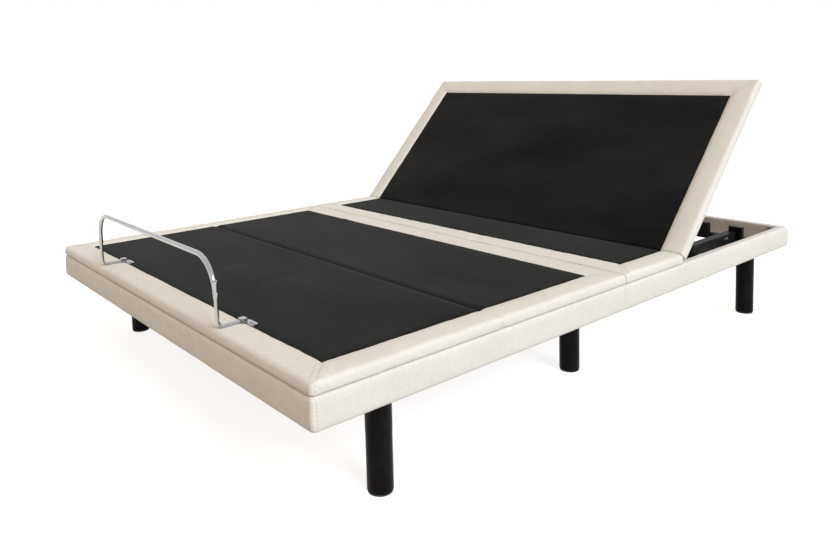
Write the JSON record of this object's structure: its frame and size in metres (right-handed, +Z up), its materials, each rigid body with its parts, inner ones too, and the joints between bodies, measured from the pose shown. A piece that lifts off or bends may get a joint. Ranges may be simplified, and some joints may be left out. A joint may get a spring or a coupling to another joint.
{
  "type": "adjustable bed base",
  "caption": "Upholstered adjustable bed base on legs, with a tilting head panel, a folding thigh and foot section, and a chrome mattress retainer bar.",
  "frame": {"origin": "on the floor, under the middle of the bed's footprint", "axes": "+Y towards the head end, +X towards the right side seen from the foot end facing the head, +Z up"},
  "size_m": [1.52, 2.0308, 0.8273],
  "materials": {
    "border_fabric": "woven",
    "wood": "raw plywood",
    "frame_steel": "satin powder coat",
    "leg_black": "satin",
    "glide_plastic": "matte",
    "zinc_steel": "zinc plated",
    "drive_plastic": "fine texture",
    "chrome_bar": "polished",
    "field_fabric": "fine non-woven"
  },
  "bodies": {
    "base": {"control_box": "drive_plastic", "corner_brackets": "zinc_steel", "drive_motors": "drive_plastic", "drive_saddles": "frame_steel", "foot_cross_tubes": "frame_steel", "foot_end_rail_cover": "border_fabric", "frame_screws": "zinc_steel", "head_cross_tubes": "frame_steel", "head_drive_housing": "drive_plastic", "head_end_rail_cover": "border_fabric", "head_rest_posts": "frame_steel", "left_foot_rail_cover": "border_fabric", "left_head_rail_cover": "border_fabric", "leg_drive_housing": "drive_plastic", "leg_glides": "glide_plastic", "leg_plates": "frame_steel", "leg_studs": "zinc_steel", "link_frame_brackets": "frame_steel", "lower_legs": "leg_black", "mains_inlet": "drive_plastic", "power_supply": "drive_plastic", "rail_boards": "wood", "rail_brackets": "frame_steel", "right_foot_rail_cover": "border_fabric", "right_head_rail_cover": "border_fabric", "seat_board": "wood", "seat_hinge_leaves": "zinc_steel", "seat_hinge_pins": "zinc_steel", "seat_pad": "border_fabric", "seat_supports": "frame_steel", "side_tubes": "frame_steel", "split_cross_tubes": "frame_steel", "upper_legs": "leg_black"},
    "head_panel": {"head_board": "wood", "head_pad": "border_fabric", "head_hinge_moving_leaves": "zinc_steel", "head_lever": "frame_steel", "head_massage_motor": "drive_plastic"},
    "thigh_panel": {"thigh_board": "wood", "thigh_pad": "border_fabric", "thigh_hinge_moving_leaves": "zinc_steel", "thigh_lever": "frame_steel", "knee_hinge_thigh_leaves": "zinc_steel", "knee_hinge_pins": "zinc_steel"},
    "foot_panel": {"foot_board": "wood", "foot_pad": "border_fabric", "knee_hinge_foot_leaves": "zinc_steel", "foot_massage_motor": "drive_plastic", "link_panel_brackets": "frame_steel", "retainer_bow": "chrome_bar", "left_retainer_foot": "chrome_bar", "right_retainer_foot": "chrome_bar", "retainer_clips": "chrome_bar", "retainer_screws": "chrome_bar"},
    "links": {"parallel_links": "frame_steel", "link_brace": "frame_steel"},
    "head_drive": {"head_drive_rod": "zinc_steel", "head_push_pin": "zinc_steel"},
    "leg_drive": {"leg_drive_rod": "zinc_steel", "leg_push_pin": "zinc_steel"}
  },
  "joints": [
    {"name": "head_tilt", "type": "hinge", "parent": "base", "child": "head_panel", "pos_m": [0, 0.297, 0.3171], "axis": [1, 0, 0], "range_deg": [-46.5, 13.5]},
    {"name": "thigh_tilt", "type": "hinge", "parent": "base", "child": "thigh_panel", "pos_m": [0, 0, 0.3171], "axis": [-1, 0, 0], "range_deg": [0, 35]},
    {"name": "knee_fold", "type": "hinge", "parent": "thigh_panel", "child": "foot_panel", "pos_m": [0, -0.493, 0.3171], "axis": [1, 0, 0], "range_deg": [0, 35]},
    {"name": "link_swing", "type": "hinge", "parent": "base", "child": "links", "pos_m": [0, 0, 0.2791], "axis": [-1, 0, 0], "range_deg": [0, 35]},
    {"name": "head_drive_push", "type": "slide", "parent": "base", "child": "head_drive", "axis": [0, 1, 0], "range_m": [-0.09408, 0.02738]},
    {"name": "leg_drive_push", "type": "slide", "parent": "base", "child": "leg_drive", "axis": [0, -1, 0], "range_m": [0, 0.06821]}
  ],
  "couplings": [
    {"joint": "knee_fold", "follows": "thigh_tilt", "ratio": 1},
    {"joint": "link_swing", "follows": "thigh_tilt", "ratio": 1},
    {"joint": "head_drive_push", "follows": "head_tilt", "m_per_rad": 0.1158},
    {"joint": "leg_drive_push", "follows": "thigh_tilt", "m_per_rad": 0.1115}
  ]
}
